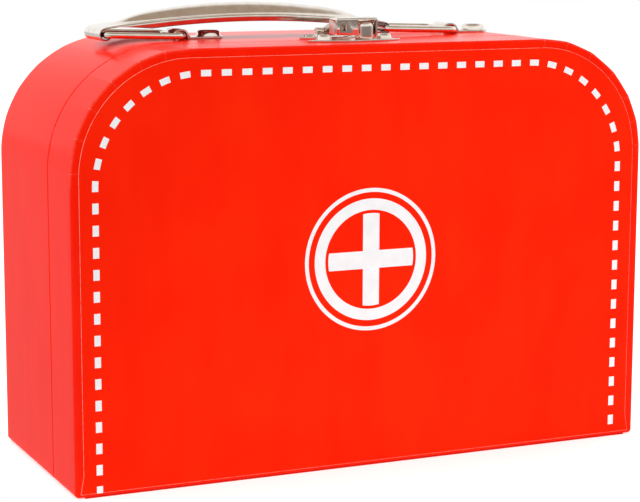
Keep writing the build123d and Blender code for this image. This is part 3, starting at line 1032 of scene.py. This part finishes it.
def softened(node, name, width, pin_x=None, cut_z=None):
    """Copy of a modelled piece with its sharp edges rounded by width millimetres.

    pin_x says where a staple's hump is eased, and cut_z is a height above which all is cut away.
    """
    source = frame["nodes"][node]
    mesh = source.data.copy()
    mesh.name = name
    work = bmesh.new()
    work.from_mesh(mesh)
    bmesh.ops.remove_doubles(work, verts=work.verts, dist=1e-6)
    if cut_z is not None:
        above = [vertex for vertex in work.verts if vertex.co.z > cut_z * MM]
        bmesh.ops.delete(work, geom=above, context="VERTS")
        rim = [edge for edge in work.edges if edge.is_boundary]
        bmesh.ops.holes_fill(work, edges=rim, sides=0)
    bmesh.ops.dissolve_limit(work, angle_limit=join_angle, verts=work.verts, edges=work.edges)
    work.to_mesh(mesh)
    work.free()
    if pin_x is not None:
        places = np.empty(3 * len(mesh.vertices))
        mesh.vertices.foreach_get("co", places)
        places = places.reshape(-1, 3)
        eased_strap(places, pin_x)
        mesh.vertices.foreach_set("co", places.ravel())
    mesh.materials.clear()
    mesh.materials.append(nickel_finish)
    mesh.shade_smooth()
    piece = added(name, mesh)
    edge = piece.modifiers.new("edge", "BEVEL")
    edge.width = width * MM
    edge.segments = 3
    edge.limit_method = "ANGLE"
    edge.angle_limit = sharp_angle
    edge.harden_normals = True
    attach(piece, source["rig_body"])
    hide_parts(node)
    print(f"{name}: {len(mesh.polygons)} faces before its bevel")


softened("staple_left", "strap_staple_left", width=0.32, pin_x=-staple_pin)
softened("staple_right", "strap_staple_right", width=0.32, pin_x=staple_pin)
softened("lock_plate_lid", "plate_lock_lid", width=0.15, cut_z=plate_top)
softened("lock_plate_body", "plate_lock_body", width=0.12)
softened("hasp", "clasp_hasp", width=0.25)

# %% [markdown]
# The lid's plate carries the catch that the hasp closes over. It is drawn up from the same sheet
# as a small knob, round in plan and over its top, which fills the open half of the hasp's front.

# %% Catch
catch_x, catch_y = 4.3, -31.1
catch_half = 3.6
catch_seat = top_z + 0.8
catch_wall = 4.9
catch_dome = 2.4
plan_power = 0.95
dome_power = 0.55


def catch_knob():
    """Rings of a nearly round plan: straight up the wall, then over a full dome.

    The plan is a circle whose cosine and sine are raised to a power just below 1, and the dome is
    a quarter round whose width goes as a power of the cosine, so it stays broad near its top.
    """
    around = np.linspace(0, 2 * np.pi, 49)[:-1]
    circle = np.array([np.cos(around), np.sin(around)])
    plan_x, plan_y = np.sign(circle) * np.abs(circle) ** plan_power
    bend = np.radians(np.linspace(0, 86, 12))
    wall = np.linspace(0, catch_wall, 5)[:-1]
    level = np.concatenate([wall, catch_wall + catch_dome * np.sin(bend)])
    share = np.concatenate([np.ones(len(wall)), np.cos(bend) ** dome_power])[:, None]
    x = catch_x + catch_half * share * plan_x
    y = catch_y + catch_half * share * plan_y
    return grid(x, y, catch_seat + level[:, None])


catch = surface("catch_knob", catch_knob(), nickel_finish, across=True, capped=True)
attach(catch, "lid")

# %% [markdown]
# ## Finishes for the pieces that stay as modelled
# Boards, linings, washers and the hasp's pin are flat or plain round, so the model's own meshes
# are good enough. Each only needs its material.

# %% Carried-over nodes
board_nodes = ["lid_wall_board", "lid_floor_board", "lid_front_board", "body_wall_board",
               "body_floor_board", "body_back_board", "seam_collar", "handle_backing_strip"]
lining_nodes = ["lid_lining_band", "lid_lining_front", "body_lining_band", "body_lining_back"]
metal_nodes = ["staple_washers", "lid_plate_washers", "body_plate_washers", "hasp_pin"]
for material, nodes in ((board_finish, board_nodes), (lining_finish, lining_nodes),
                        (nickel_finish, metal_nodes)):
    for node in nodes:
        mesh = frame["nodes"][node].data
        mesh.materials.clear()
        mesh.materials.append(material)
    print(material.name, "on", len(nodes), "nodes")

# %% [markdown]
# ## Light
# Plated steel shows its surroundings, so the room is made with care. The camera sees plain white,
# but the pieces see a room that is bright behind the case, warm and dim overhead, and in front of
# it dim and low with a bright band higher up. So the steel has something dark and something bright
# to mirror, and the paper takes a pale sheen on the top and the side and stays deep in front.

# %% World
sky_above = (0.42, 0.34, 0.27)
sky_behind = (1.02, 1.02, 1.02)
sky_below = (0.66, 0.66, 0.66)
sky_front_low = (0.24, 0.22, 0.21)
sky_front_high = (1.0, 0.98, 0.96)
world = bpy.data.worlds.new("studio")
bpy.context.scene.world = world
world.use_nodes = True
sky = world.node_tree
backdrop = sky.nodes["Background"]
toward = Value(sky, sky.nodes.new("ShaderNodeTexCoord").outputs["Generated"])
seen = Value(sky, sky.nodes.new("ShaderNodeLightPath").outputs["Is Camera Ray"])
above = toward.part("Z").ramp(0.58, 0.84)
behind = toward.part("Y").ramp(-0.75, 0.15)
front = toward.part("Z").ramp(0.08, 0.3).blend(sky_front_low, sky_front_high)
upward = toward.part("Z").ramp(-0.02, 0.02)
below = behind.blend(sky_front_low, sky_below)
room = upward.blend(below, above.blend(behind.blend(front, sky_behind), sky_above))
plug(sky, backdrop.inputs["Color"], seen.blend(room, (1.0, 1.0, 1.0)))
plug(sky, backdrop.inputs["Strength"], 1.0)
print("world nodes:", len(sky.nodes))

# %% [markdown]
# Two broad square lamps give the paper its colour: one to the left and in front, which lights the
# side more than the face, and one overhead. They are left out of reflections, where their edges
# would show as hard white squares on the steel.

# %% Lamps
lamp_aim = (0.0, 0.0, 80.0)


def lamp(name, place, aim, size, watts):
    """Square soft lamp, in millimetres, that faces a point."""
    light = bpy.data.lights.new(name, "AREA")
    light.size = size * MM
    light.energy = watts
    holder = added(name, light)
    holder.location = Vector(place) * MM
    holder.rotation_euler = (Vector(aim) - Vector(place)).to_track_quat("-Z", "Y").to_euler()
    holder.visible_glossy = False
    print(f"{name} lamp: {size:.0f} mm square, {watts} W")


lamp("key", (-1650.0, -850.0, 900.0), lamp_aim, size=900.0, watts=16.0)
lamp("overhead", (200.0, 300.0, 1500.0), lamp_aim, size=1400.0, watts=10.0)

# %% [markdown]
# The floor is pale paper that glows a little, as paper lit from all round does. It begins at the
# case's left side, so that the side's sheen comes from the room and not from the floor.

# %% Floor
floor_low, floor_high = (-126.0, -600.0), (1500.0, 2500.0)
floor_pale, floor_paler = (0.93, 0.93, 0.93), (0.95, 0.95, 0.95)
floor_mesh = bpy.data.meshes.new("floor")
floor_corners = np.array([(*floor_low, 0), (floor_high[0], floor_low[1], 0),
                          (*floor_high, 0), (floor_low[0], floor_high[1], 0)]) * MM
floor_mesh.from_pydata(floor_corners, [], [(0, 1, 2, 3)])


def floor_build(place):
    """Pale paper, with clouds too faint to see as such."""
    return {"Base_Color": place.noise(60.0, 2.0).blend(floor_pale, floor_paler)}


sweep_finish = finish("paper_sweep", floor_build, Roughness=0.8, Emission_Color=(1.0, 1.0, 1.0),
                      Emission_Strength=0.42)
floor_mesh.materials.append(sweep_finish)
floor = added("floor", floor_mesh)
print("floor runs from", floor_low, "to", floor_high, "mm")
